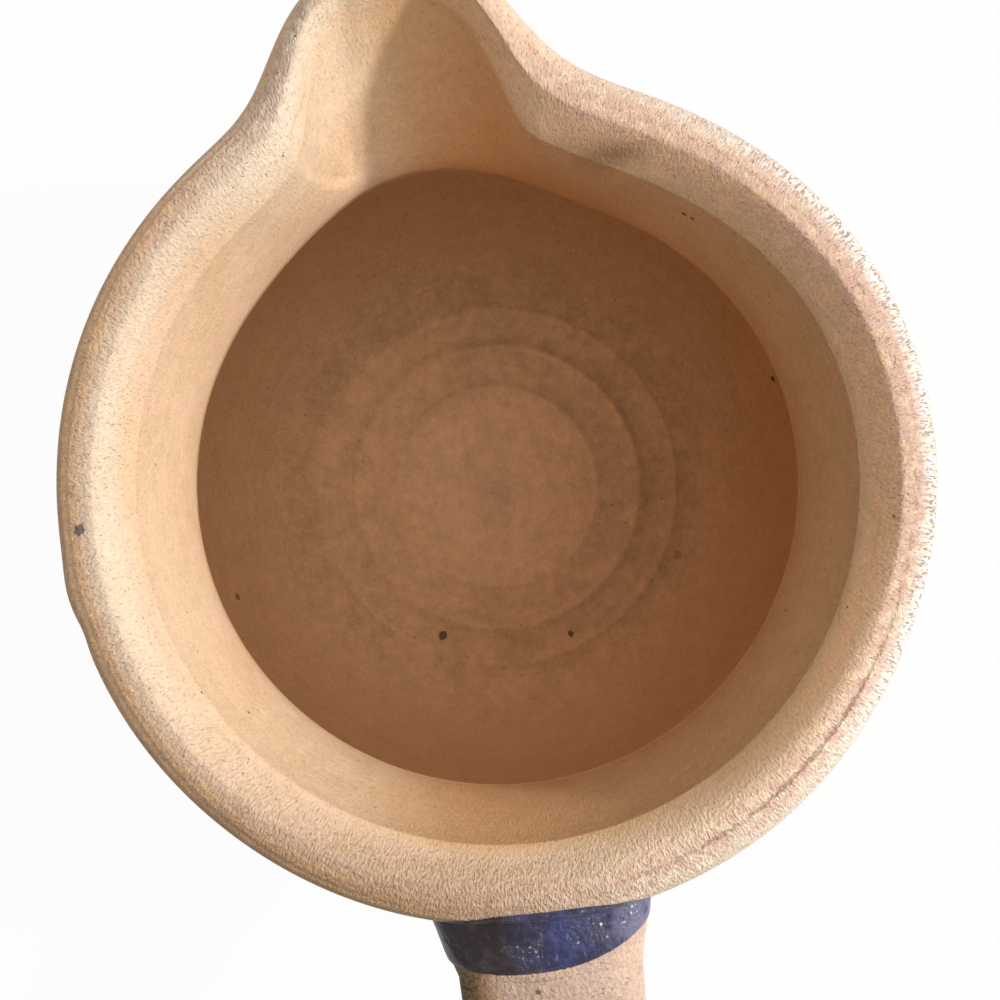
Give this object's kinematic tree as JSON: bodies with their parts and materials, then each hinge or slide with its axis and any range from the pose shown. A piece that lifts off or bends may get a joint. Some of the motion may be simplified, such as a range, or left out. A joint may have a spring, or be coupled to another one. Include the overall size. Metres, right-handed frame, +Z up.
{
  "type": "cream jug",
  "caption": "Small thrown stoneware cream jug: round belly, drawn-in neck, rolled lip with a pulled spout, and a strap handle with cobalt at its ends.",
  "frame": {"origin": "centre of the foot, on the plane that the jug stands on", "axes": "+Z up along the jug's axis, +X towards the handle, spout near -X, +Y to the left of someone holding the handle and looking at the spout"},
  "size_m": [0.1186, 0.086, 0.0932],
  "materials": {
    "clay_body": "matt fired buff stoneware, faintly dimpled, with throwing lines",
    "clay_handle": "matt fired buff stoneware, pulled lengthways",
    "clay_lute": "matt fired buff stoneware, worked with wet fingers",
    "cobalt_glaze": "brushed cobalt blue, glossy and faintly crackled"
  },
  "bodies": {
    "root": {"body": "clay_body", "handle": "clay_handle", "upper_lute": "clay_lute", "lower_lute": "clay_lute", "upper_cobalt": "cobalt_glaze", "lower_cobalt": "cobalt_glaze"}
  },
  "joints": []
}
